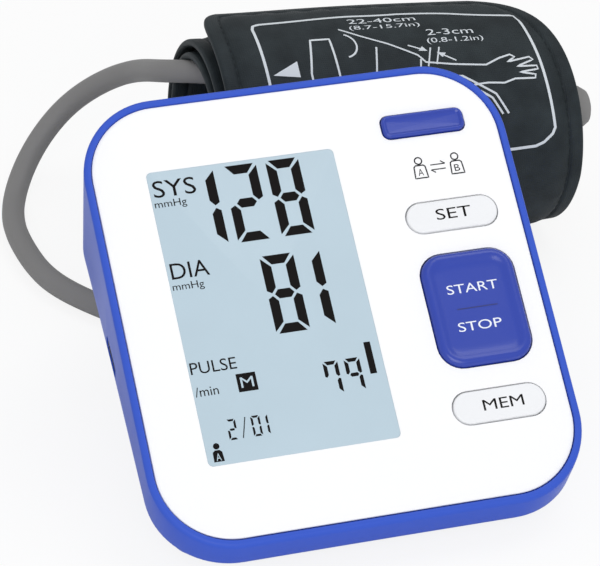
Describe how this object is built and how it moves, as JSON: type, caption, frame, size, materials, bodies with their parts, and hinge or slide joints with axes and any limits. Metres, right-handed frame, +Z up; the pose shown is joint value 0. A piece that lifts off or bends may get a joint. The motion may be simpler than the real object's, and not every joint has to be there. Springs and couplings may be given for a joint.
{
  "type": "upper-arm blood pressure monitor with cuff",
  "caption": "Wedge-shaped desk blood pressure monitor with a large display and keys on a sloping face, joined by an air hose to a rolled fabric arm cuff.",
  "frame": {"origin": "on the table under the middle of the set's outline, without the hose and its plug", "axes": "+Z up; the display faces -Y and up; +X is to the right of a person reading the display; the cuff lies behind the monitor with its roll nearly along X"},
  "size_m": [0.1905, 0.2417, 0.097],
  "materials": {
    "white_shell": "smooth satin",
    "blue_shell": "smooth satin",
    "blue_key": "smooth satin",
    "pale_key": "matt",
    "window": "clear gloss",
    "display": "satin",
    "board": "solder resist",
    "black_plastic": "moulded",
    "steel": "plated",
    "brass": "turned",
    "white_rubber": "moulded",
    "dark_rubber": "matt",
    "grey_hose": "satin",
    "battery_wrap": "printed film",
    "black_cloth": "woven nylon",
    "lining_cloth": "smooth nylon",
    "bladder_film": "welded film",
    "hook_cloth": "hook-and-loop"
  },
  "bodies": {
    "monitor": {"air_manifold": "white_rubber", "air_socket": "white_rubber", "back_cover": "blue_shell", "battery_1": "battery_wrap", "battery_2": "battery_wrap", "battery_3": "battery_wrap", "battery_4": "battery_wrap", "battery_contacts_back": "steel", "battery_contacts_front": "steel", "buzzer": "black_plastic", "case_screw_1": "steel", "case_screw_2": "steel", "case_screw_3": "steel", "case_screw_4": "steel", "circuit_board": "board", "display_window": "window", "exhaust_valve": "steel", "foot_1": "dark_rubber", "foot_2": "dark_rubber", "foot_3": "dark_rubber", "foot_4": "dark_rubber", "front_cover": "white_shell", "lcd_backlight": "white_rubber", "lcd_panel": "display", "main_chip": "black_plastic", "memory_switch": "black_plastic", "power_socket": "black_plastic", "pressure_sensor": "black_plastic", "pump_air_line": "grey_hose", "pump_head": "black_plastic", "pump_motor": "steel", "set_switch": "black_plastic", "side_frame": "blue_shell", "socket_air_line": "grey_hose", "start_stop_switch": "black_plastic", "user_switch_switch": "black_plastic"},
    "battery_door": {"battery_door": "blue_shell"},
    "pump_rotor": {"pump_eccentric": "white_rubber"},
    "valve_pin": {"valve_plunger": "brass"},
    "user_switch": {"user_switch_button": "blue_key"},
    "set_key": {"set_button": "pale_key"},
    "start_stop_key": {"start_stop_button": "blue_key"},
    "memory_key": {"memory_button": "pale_key"},
    "cuff_and_hose": {"air_plug": "grey_hose", "plug_o_ring": "dark_rubber", "air_hose": "grey_hose", "cuff_outer_cloth": "black_cloth", "cuff_lining": "lining_cloth", "air_bladder": "bladder_film", "hook_pad": "hook_cloth", "loop_pad": "hook_cloth", "cuff_port": "grey_hose"}
  },
  "joints": [
    {"name": "user_switch_press", "type": "slide", "parent": "monitor", "child": "user_switch", "axis": [0, 0.5779, -0.8161], "range_m": [0, 0.0008], "stiffness_N_per_m": 900, "springref_m": -0.0005},
    {"name": "set_key_press", "type": "slide", "parent": "monitor", "child": "set_key", "axis": [0, 0.5779, -0.8161], "range_m": [0, 0.0008], "stiffness_N_per_m": 700, "springref_m": -0.0005},
    {"name": "start_stop_key_press", "type": "slide", "parent": "monitor", "child": "start_stop_key", "axis": [0, 0.5779, -0.8161], "range_m": [0, 0.0008], "stiffness_N_per_m": 900, "springref_m": -0.0005},
    {"name": "memory_key_press", "type": "slide", "parent": "monitor", "child": "memory_key", "axis": [0, 0.5779, -0.8161], "range_m": [0, 0.0008], "stiffness_N_per_m": 700, "springref_m": -0.0005},
    {"name": "battery_door_slide", "type": "slide", "parent": "monitor", "child": "battery_door", "axis": [0, 1, 0], "range_m": [0, 0.01]},
    {"name": "plug_pull", "type": "slide", "parent": "monitor", "child": "cuff_and_hose", "axis": [0, 1, 0], "range_m": [0, 0.014]},
    {"name": "pump_spin", "type": "hinge", "parent": "monitor", "child": "pump_rotor", "pos_m": [-0.0206, -0.0144, 0.036], "axis": [1, 0, 0], "continuous": true},
    {"name": "valve_stroke", "type": "slide", "parent": "monitor", "child": "valve_pin", "axis": [1, 0, 0], "range_m": [0, 0.002], "stiffness_N_per_m": 150, "springref_m": -0.001}
  ]
}
